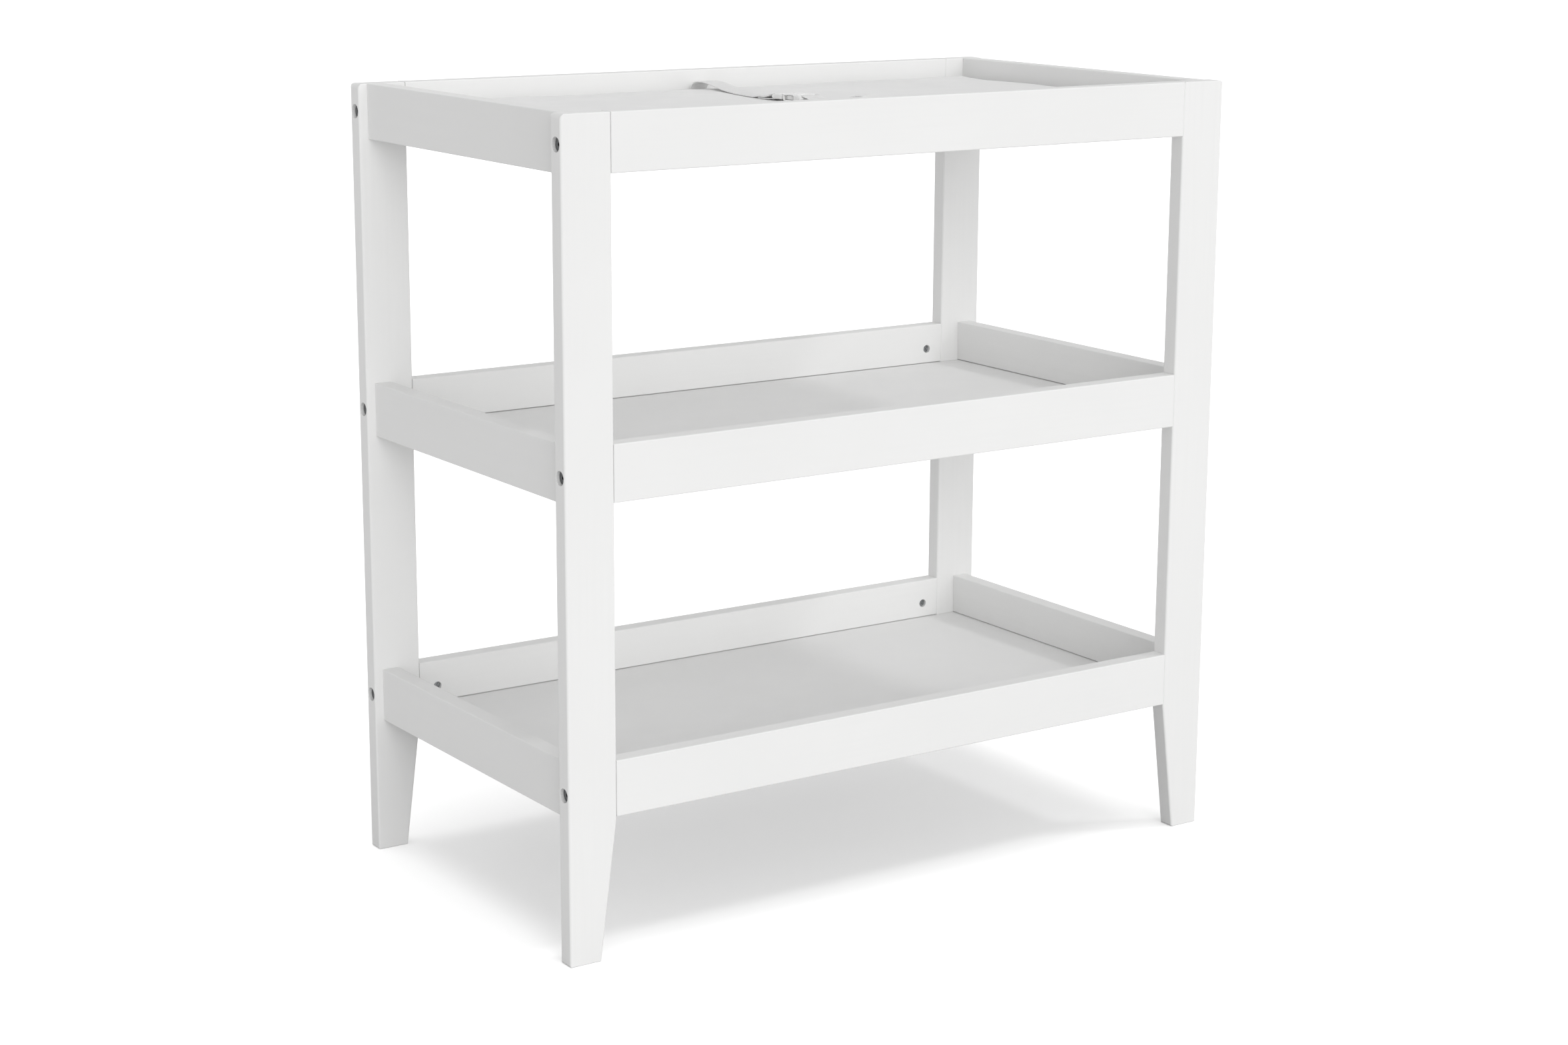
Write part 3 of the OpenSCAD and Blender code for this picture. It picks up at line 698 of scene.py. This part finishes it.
def socket_field(p):
    q = mirrored(p)
    body = field_slab(p, *SOCKET_BODY)
    body = cut(body, field_post(q, *SOCKET_WAIST), k=0.8)
    body = cut(body, field_box(p, *SOCKET_ROOM))
    body = cut(body, field_box(q, *SIDE_WINDOW))
    body = cut(body, field_box(p, *SOCKET_EYE))
    body = joined(body, cross_rod(p, SOCKET_BAR_X, SOCKET_BAR_Y, 0, BAR_R), k=0.7)
    thumb = np.hypot(p[..., 0] / THUMB_W, (p[..., 1] - THUMB_Y) / THUMB_D) - 1
    body = cut(body, np.maximum(thumb * THUMB_D, THUMB_FLOOR - np.abs(p[..., 2])), k=0.5)
    for y in SOCKET_LINES:
        body = cut(body, cross_rod(p, SOCKET_LINE_X, y, SOCKET_LINE_Z, SOCKET_LINE_R), k=0.25)
    return body


def plug_field(p):
    q = mirrored(p)
    body = field_slab(p, *PLUG_BODY)
    body = cut(body, field_box(p, *PLUG_EYE))
    above_room = np.maximum(0, np.abs(p[..., 2]) - PIVOT_ROOM_Z)
    body = cut(body, field_post(q, PIVOT_X, PIVOT_Y, PIVOT_ROOM_R) + above_room * PIVOT_LID, k=0.2)
    body = joined(body, cross_rod(p, PLUG_BAR_X, PLUG_BAR_Y, 0, BAR_R), k=0.7)
    tongue = cut(field_slab(p, *TONGUE), field_box(p, *TONGUE_GROOVE))
    body = joined(body, tongue, k=0.8)
    for y in PLUG_RIBS:
        body = joined(body, cross_rod(p, PLUG_RIB_X, y, PLUG_RIB_Z, PLUG_RIB_R), k=0.35)
    return body


def prong_field(p):
    """The right-hand prong; the left one is its mirror image."""
    root = np.stack([field_post(p, PIVOT_X, PIVOT_Y, PIVOT_R), np.abs(p[..., 2]) - PRONG_Z], -1)
    root = grow(root + PRONG_FLAT) - PRONG_FLAT
    body = joined(joined(field_slab(p, *PRONG_ARM), root), field_slab(p, *PRONG_WING), k=1.2)
    for y in PRONG_GRIPS:
        low, high = ((PRONG_GRIP_X, y, z) for z in (-PRONG_GRIP_Z, PRONG_GRIP_Z))
        body = cut(body, field_rod(p, low, high, PRONG_GRIP_R), k=0.25)
    return body


def left_prong_field(p):
    return prong_field(p * np.array((-1, 1, 1)))


CORNERS = [(i, j, k) for i in (0, 1) for j in (0, 1) for k in (0, 1)]
SETTLE_STEPS, SETTLE_MOST, SLOPE_REACH, SLOPE_LEAST = 4, 0.1, 0.02, 0.25


def slope_step(field, points):
    """The step from each point to the field's surface, along the field's slope."""
    ahead, behind = ([field(points + way * SLOPE_REACH * axis) for axis in np.eye(3)] for way in (1, -1))
    slope = np.stack([(a - b) / (2 * SLOPE_REACH) for a, b in zip(ahead, behind)], -1)
    size = np.maximum((slope ** 2).sum(-1, keepdims=True), SLOPE_LEAST)
    return np.clip(field(points)[:, None] * slope / size, -SETTLE_MOST, SETTLE_MOST)


def mesh_of(field, low, high, step):
    """Surface nets: a quad mesh of the field's zero surface, settled onto it in a few small steps."""
    axes = [np.arange(low[k] - step, high[k] + 2 * step, step) for k in range(3)]
    value = field(np.stack(np.meshgrid(*axes, indexing="ij"), -1))
    inside = value < 0
    n = np.array(value.shape) - 1

    def corner(a, offset):
        return a[tuple(slice(o, o + m) for o, m in zip(offset, n))]

    total, hits = np.zeros((*n, 3)), np.zeros(n)
    for axis in range(3):
        ahead = np.eye(3, dtype=int)[axis]
        for offset in (c for c in CORNERS if c[axis] == 0):
            a, b = corner(value, offset), corner(value, np.array(offset) + ahead)
            crosses = (a < 0) != (b < 0)
            share = np.where(crosses, a / np.where(crosses, a - b, 1), 0)
            spot = np.array(offset, float) + share[..., None] * ahead
            total += np.where(crosses[..., None], spot, 0)
            hits += crosses
    used = hits > 0
    index = np.full(n, -1)
    index[used] = np.arange(used.sum())
    cells = np.argwhere(used)
    points = (cells + total[used] / hits[used][:, None]) * step + np.array([a[0] for a in axes])
    faces = []
    for axis in range(3):
        u, v = (axis + 1) % 3, (axis + 2) % 3
        size = np.array(value.shape)
        size[axis] -= 1
        inner = [slice(0, size[k]) if k == axis else slice(1, size[k] - 1) for k in range(3)]
        a = inside[tuple(inner)]
        shifted = [slice(1, None) if k == axis else inner[k] for k in range(3)]
        b = inside[tuple(shifted)]
        for wanted, order in ((a & ~b, 1), (~a & b, -1)):
            spots = np.argwhere(wanted)
            spots[:, u] += 1
            spots[:, v] += 1
            du, dv = np.eye(3, dtype=int)[u], np.eye(3, dtype=int)[v]
            quad = [index[tuple((spots - s).T)] for s in (du + dv, dv, (0, 0, 0), du)]
            faces.append(np.stack(quad[::order], 1))
    for _ in range(SETTLE_STEPS):
        points = points - slope_step(field, points)
    return points, np.vstack(faces)


BUCKLE_FRAME = Matrix.Translation(Vector(BUCKLE_AT * MM)) @ Matrix.Rotation(TURN, 4, "Z")
BUCKLE_STEP, BUCKLE_KEEP = 0.4, 0.45    # mm between the mesh's points, and the share of faces kept


def buckle_piece(name, field, low, high, body, node):
    points, faces = mesh_of(field, low, high, BUCKLE_STEP)
    obj = new_object(name, points * MM, faces, PLASTIC)
    thin = obj.modifiers.new("thin", "DECIMATE")
    thin.ratio = BUCKLE_KEEP
    apply_modifiers(obj)
    shade_smooth(obj)
    obj.matrix_world = BUCKLE_FRAME
    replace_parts(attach(obj, body), node)


BUCKLE_PIECES = [  # name, field, low and high corners, body, the CAD node it replaces
    ("buckle_socket_shell", socket_field, (-17, -36, -5.5), (17, 1, 5.5), "pad", "buckle_socket"),
    ("buckle_plug_body", plug_field, (-16, -21, -4), (16, 20, 4), "plug", "buckle_plug"),
    ("buckle_prong_right", prong_field, (7, -19, -3), (14, 5, 3), "prong_right", "release_prong_right"),
    ("buckle_prong_left", left_prong_field, (-14, -19, -3), (-7, 5, 3), "prong_left", "release_prong_left")]

for piece in BUCKLE_PIECES:
    buckle_piece(*piece)

# ---------------------------------------------------------------- pad

SHELL_IN, SHELL_LIFT, SHELL_START_T, SHELL_CORNER_R, SHELL_RIM_R = 1.0, 1, 24.0, 14, 6
PAD_FIT = (PAD_W / 2 - 0.5, PAD_D / 2 - 1.0)  # half the shell's finished width and depth
VOXEL = 6.0
STILL_BAND = 1.5                        # the shell's lowest points, which the swelling leaves alone
SWELL_FRAMES, SWELL_CAP = 20, 5.0
PULL_IN, PULL_REACH = 1.6, 40           # the long edges curve in a little between the corners
TOP_FROM, TOP_FULL = 10, 5              # mm below the pad's top where its shaping starts and is full
BROAD_RIPPLE, BROAD_SIZE = 0.7, 85      # height and size, mm
FINE_RIPPLE, FINE_SIZE, FINE_STRETCH = 0.3, 26, 1.6
SIDE_RIPPLE, SIDE_SIZE = 0.0012, 48     # as a share of the distance from the middle
PRESSED_HALF, PRESSED_END = 12, 44      # mm from the belt's middle line
TOP_LIMIT, BELT_PRESS, LIMIT_EASE = 2.4, 2.2, 0.4  # highest swelling, and less of it under the belt
CREASE_BOW, SHOULDER_SHARE, SHOULDER_OUT, FADE_END = 0.06, 0.45, 1.7, 0.02  # shares of each crease's size
CREASES = [  # (x0, y0, x1, y1, half width, depth), mm
    (-170, 176, -46, 120, 7, 1.7), (-196, 128, -60, 92, 6, 1.4), (-138, 66, -44, 60, 6, 1.2),
    (-120, 8, -44, 2, 5, 1.0), (58, 148, 190, 182, 7, 1.5), (48, 84, 168, 116, 6, 1.3),
    (-110, -96, -44, -66, 6, 1.3), (-122, -162, -30, -124, 7, 1.6), (44, -116, 140, -156, 6, 1.4),
    (30, -58, 108, -64, 5, 1.0), (-340, 60, -240, 128, 9, 0.9), (240, -66, 340, -146, 9, 0.9),
    (-392, 196, -330, 168, 6, 1.5), (-386, -198, -326, -176, 6, 1.4), (392, 196, 328, 172, 6, 1.5),
    (388, -198, 332, -170, 6, 1.4), (-398, 184, -372, 130, 6, 1.2), (398, -186, 374, -128, 6, 1.2),
    (-250, -204, -236, -150, 7, 1.0), (236, 204, 252, 148, 7, 1.0), (120, -204, 112, -168, 6, 0.9),
    (-60, 206, -72, 172, 6, 0.9)]


def rounded_block(name, low, high, radius, rim):
    """A box with rounded corners seen from above and softly rounded rims, as a closed mesh."""
    mesh = bmesh.new()
    bmesh.ops.create_cube(mesh, size=1)
    low, high = np.array(low, float), np.array(high, float)
    for v in mesh.verts:
        v.co = Vector(((low + high) / 2 + np.array(v.co) * (high - low)) * MM)
    upright = [e for e in mesh.edges if abs(e.verts[0].co.z - e.verts[1].co.z) > 1e-6]
    bmesh.ops.bevel(mesh, geom=upright, offset=radius * MM, segments=8, affect="EDGES", profile=0.5)
    level = [e for e in mesh.edges if e.is_manifold and abs(e.verts[0].co.z - e.verts[1].co.z) < 1e-9
             and abs(e.calc_face_angle() - math.pi / 2) < 0.05]
    bmesh.ops.bevel(mesh, geom=level, offset=rim * MM, segments=4, affect="EDGES", profile=0.5)
    data = bpy.data.meshes.new(name)
    mesh.to_mesh(data)
    mesh.free()
    obj = bpy.data.objects.new(name, data)
    bpy.context.scene.collection.objects.link(obj)
    return obj


def swell(obj):
    """Blows the shell up as cloth under pressure, for a few frames, with no gravity."""
    low_z = get_points(obj.data)[:, 2].min()
    still = obj.vertex_groups.new(name="still")
    still.add([v.index for v in obj.data.vertices if v.co.z < low_z + STILL_BAND * MM], 1.0, "REPLACE")
    cloth = obj.modifiers.new("cloth", "CLOTH")
    cloth.settings.quality = 5
    cloth.settings.tension_stiffness = 12
    cloth.settings.compression_stiffness = 12
    cloth.settings.bending_stiffness = 0.4
    cloth.settings.use_pressure = True
    cloth.settings.uniform_pressure_force = 4
    cloth.settings.vertex_group_mass = "still"
    cloth.settings.effector_weights.gravity = 0
    cloth.collision_settings.use_collision = False
    scene = bpy.context.scene
    for frame_number in range(1, SWELL_FRAMES + 1):
        scene.frame_set(frame_number)
    apply_modifiers(obj)
    scene.frame_set(1)


def belt_centre(y):
    """x of the belt's middle line at y, in mm, over the pad."""
    ys = np.concatenate([FRONT_ROUTE[0][::-1, 1], BACK_ROUTE[0][:, 1]])
    xs = np.concatenate([FRONT_ROUTE[0][::-1, 0], BACK_ROUTE[0][:, 0]])
    order = np.argsort(ys)
    return np.interp(y, ys[order], xs[order])


def crease_field(points):
    """How deep each point lies in the vinyl's soft creases, in mm."""
    depth = np.zeros(len(points))
    for x0, y0, x1, y1, half, deep in CREASES:
        a, d = np.array((x0, y0), float), np.array((x1 - x0, y1 - y0), float)
        share = np.clip(((points[:, :2] - a) @ d) / (d @ d), 0, 1)
        bow = np.array((-d[1], d[0])) * CREASE_BOW * np.sin(share * math.pi)[:, None]
        off = np.linalg.norm(points[:, :2] - a - share[:, None] * d - bow, axis=1)
        fade = np.sin(np.clip(share, FADE_END, 1 - FADE_END) * math.pi) ** 0.5
        valley = np.exp(-(off / half) ** 2)
        shoulder = np.exp(-((off - SHOULDER_OUT * half) / half) ** 2)
        depth += deep * fade * valley - SHOULDER_SHARE * deep * fade * shoulder
    return depth


def ripple(points, size, seed):
    """Smooth noise from -1 to 1 at each point; size in mm."""
    shift = Vector((seed * 3.7, seed * 1.9, seed * 5.3))
    return np.array([noise.noise(Vector(p) / size + shift) for p in points])


def soft_above(x):
    """x where it is well above nought, easing to nought below it."""
    return LIMIT_EASE * np.logaddexp(0, x / LIMIT_EASE)


def shape_pad(obj, start):
    """Caps the swelling, adds soft creases, presses the pad under the belt, and keeps it in its space."""
    points = get_points(obj.data) / MM
    move = points - start
    far = np.linalg.norm(move, axis=1, keepdims=True)
    points = start + move * np.minimum(1, SWELL_CAP / np.maximum(far, 1e-9))
    points[:, :2] *= np.array(PAD_FIT) / np.abs(points[:, :2]).max(0)
    top = smoothstep(points[:, 2], PAD_TOP - TOP_FROM, PAD_TOP - TOP_FULL)
    broad = BROAD_RIPPLE * ripple(points * (1, 1, 0), BROAD_SIZE, 1)
    fine = FINE_RIPPLE * ripple(points * (1, FINE_STRETCH, 0), FINE_SIZE, 2)
    points[:, 2] += top * (broad + fine - crease_field(points))
    points[:, :2] *= (1 + (1 - top) * SIDE_RIPPLE * ripple(points, SIDE_SIZE, 3))[:, None]
    near = 1 - smoothstep(np.abs(points[:, 0] - belt_centre(points[:, 1])), PRESSED_HALF, PRESSED_END)
    limit = PAD_TOP + TOP_LIMIT - BELT_PRESS * near
    points[:, 2] = limit - soft_above(limit - points[:, 2])
    points[:, 2] = np.maximum(points[:, 2], PAD_FLOOR + 0.1)
    set_points(obj.data, points * MM)


def make_pad():
    half_w, half_d = PAD_W / 2 - SHELL_IN, PAD_D / 2 - SHELL_IN
    low_z = PAD_FLOOR + SHELL_LIFT
    obj = rounded_block("pad_shell", (-half_w, -half_d, low_z), (half_w, half_d, low_z + SHELL_START_T),
                        SHELL_CORNER_R, SHELL_RIM_R)
    remesh = obj.modifiers.new("remesh", "REMESH")
    remesh.mode, remesh.voxel_size = "VOXEL", VOXEL * MM
    apply_modifiers(obj)
    points = get_points(obj.data) / MM
    for axis, half, other in ((0, half_w, half_d), (1, half_d, half_w)):
        middle = 1 - (points[:, 1 - axis] / other) ** 2
        pull = PULL_IN * middle * smoothstep(np.abs(points[:, axis]), half - PULL_REACH, half)
        points[:, axis] -= np.sign(points[:, axis]) * pull
    set_points(obj.data, points * MM)
    swell(obj)
    shape_pad(obj, points)
    subdivide = obj.modifiers.new("subdivide", "SUBSURF")
    subdivide.levels = subdivide.render_levels = 1
    apply_modifiers(obj)
    shade_smooth(obj)
    dress(obj, VINYL)
    return obj


pad_shell = make_pad()
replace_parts(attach(pad_shell, "pad"), "pad_cover", "pad_base_sheet")

FOAM_IN, FOAM_FLOOR, FOAM_TOP, FOAM_CORNER_R, FOAM_RIM_R = 14.0, PAD_FLOOR + 2.5, PAD_TOP - 8.5, 12, 3
foam_core = rounded_block("foam_core", (FOAM_IN - PAD_W / 2, FOAM_IN - PAD_D / 2, FOAM_FLOOR),
                          (PAD_W / 2 - FOAM_IN, PAD_D / 2 - FOAM_IN, FOAM_TOP), FOAM_CORNER_R, FOAM_RIM_R)
dress(foam_core, FOAM)
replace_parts(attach(foam_core, "pad"), "pad_foam")

PIPING_Z, PIPING_R, PIPING_SIDES, PIPING_POINTS = 884.0, 1.5, 8, 420
PIPING_INSIDE, PIPING_OUTSIDE = 40, 80  # where the rays that find the shell end and start, mm
PIPING_SMOOTHINGS = 3


def outline_point(t, half_w, half_d, out=0.0, corner=30.0):
    """The point at share t, below 1, round a rounded rectangle that is out mm larger all round."""
    straight = (2 * half_w, 2 * half_d) * 2
    bend = math.pi / 2 * corner
    at = t * (sum(straight) + 4 * bend)
    spots = [(half_w, -half_d, 0), (half_w, half_d, 1), (-half_w, half_d, 2), (-half_w, -half_d, 3)]
    for k, (x, y, quarter) in enumerate(spots):
        length = straight[(k + 1) % 2]
        heading = quarter * math.pi / 2
        normal = np.array((math.cos(heading), math.sin(heading)))
        tangent = np.array((-math.sin(heading), math.cos(heading)))
        if at <= length:
            return np.array((x, y)) + tangent * at + normal * (corner + out)
        at -= length
        if at <= bend:
            turned = heading + at / bend * math.pi / 2
            end = np.array((x, y)) + tangent * length
            return end + np.array((math.cos(turned), math.sin(turned))) * (corner + out)
        at -= bend


def make_piping():
    """The welded piping round the middle of the pad's edge, laid on the finished shell."""
    surface = BVHTree.FromObject(pad_shell, bpy.context.evaluated_depsgraph_get())
    inner_w, inner_d = PAD_W / 2 - PIPING_INSIDE, PAD_D / 2 - PIPING_INSIDE
    track = []
    for t in np.linspace(0, 1, PIPING_POINTS, endpoint=False):
        spot = outline_point(t, inner_w, inner_d)
        way = outline_point(t, inner_w, inner_d, 1.0) - spot
        outside = spot + way * PIPING_OUTSIDE
        origin = Vector((outside[0] * MM, outside[1] * MM, PIPING_Z * MM))
        hit = surface.ray_cast(origin, Vector((-way[0], -way[1], 0)))[0]
        track.append((hit.x / MM, hit.y / MM, PIPING_Z))
    track = np.array(track)
    for _ in range(PIPING_SMOOTHINGS):
        track = (np.roll(track, 1, 0) + 2 * track + np.roll(track, -1, 0)) / 4
    along = unit(np.roll(track, -1, 0) - np.roll(track, 1, 0))
    up = np.broadcast_to((0.0, 0.0, 1.0), track.shape)
    rings = round_rings(track, unit(np.cross(along, up)), up, PIPING_R, PIPING_SIDES)
    obj = new_object("pad_piping", rings.reshape(-1, 3) * MM, sweep_rings(rings, closed=True), VINYL)
    fix_normals(obj)
    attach(obj, "pad")


make_piping()

# ---------------------------------------------------------------- floor and light

FLOOR_HALF = 40                         # metres
FLOOR_GREY = (0.5, 0.5, 0.5)            # as the table and the light see it
FLOOR_SEEN, FLOOR_SEEN_GLOW = (0.9, 0.9, 0.9), 0.23  # as the camera sees it
WORLD_LIGHT, WORLD_FRONT_BACK = 0.53, 0.5
SUNS = [  # name, the way it shines, strength, width in degrees
    ("from_right", (-0.62, 0.30, -0.72), 0.40, 7),
    ("key", (0.19, 0.93, -0.27), 0.94, 34),
    ("left_fill", (0.95, 0.05, -0.2), 0.05, 24)]
FLOOR_SUN = ("floor_light", (-0.03, 0.10, -1), 1.5, 45)


def make_floor():
    """A pale floor that shows white to the camera, and reflects less onto the table than that."""
    p = Paint("studio_floor", FLOOR_GREY, 0.9, Specular_IOR_Level=0.0)
    p.shader.inputs["Emission Color"].default_value = (1, 1, 1, 1)
    seen = p.add("ShaderNodeLightPath").outputs["Is Camera Ray"]
    p.tint(seen, FLOOR_SEEN, 0, 1)
    p.tree.links.new(p.math("MULTIPLY", seen, FLOOR_SEEN_GLOW), p.shader.inputs["Emission Strength"])
    corners = [(x * FLOOR_HALF, y * FLOOR_HALF, 0) for x, y in ((-1, -1), (1, -1), (1, 1), (-1, 1))]
    floor = new_object("floor", corners, [(0, 1, 2, 3)], p.material)
    return floor


def make_sun(name, toward, strength, angle, only=None):
    """A soft distant light that shines toward a direction, on everything or on one object only."""
    data = bpy.data.lights.new(name, "SUN")
    data.energy, data.angle = strength, math.radians(angle)
    lamp = bpy.data.objects.new(name, data)
    bpy.context.scene.collection.objects.link(lamp)
    lamp.rotation_mode = "QUATERNION"
    lamp.rotation_quaternion = Vector(toward).to_track_quat("-Z", "Y")
    if only is not None:
        lit = bpy.data.collections.new(name + "_lit")
        lit.objects.link(only)
        lamp.light_linking.receiver_collection = lit


def make_world(base, front_back):
    """A white studio that is brightest in front and behind, and shows as white to the camera."""
    world = bpy.data.worlds.new("studio")
    bpy.context.scene.world = world
    world.use_nodes = True
    tree = world.node_tree
    split = tree.nodes.new("ShaderNodeSeparateXYZ")
    tree.links.new(tree.nodes.new("ShaderNodeTexCoord").outputs["Generated"], split.inputs[0])
    depth = split.outputs[1]
    ahead = math_node(tree, "MULTIPLY", math_node(tree, "MULTIPLY", depth, depth), front_back)
    seen = tree.nodes.new("ShaderNodeLightPath").outputs["Is Camera Ray"]
    light = math_node(tree, "MAXIMUM", math_node(tree, "ADD", ahead, base), seen)
    tree.links.new(light, tree.nodes["Background"].inputs["Strength"])
    tree.nodes["Background"].inputs["Color"].default_value = (1, 1, 1, 1)


floor = make_floor()
make_world(WORLD_LIGHT, WORLD_FRONT_BACK)
for sun in SUNS:
    make_sun(*sun)
make_sun(*FLOOR_SUN, only=floor)
bpy.context.scene.view_settings.view_transform = "Standard"
bpy.context.scene.view_settings.look = "None"
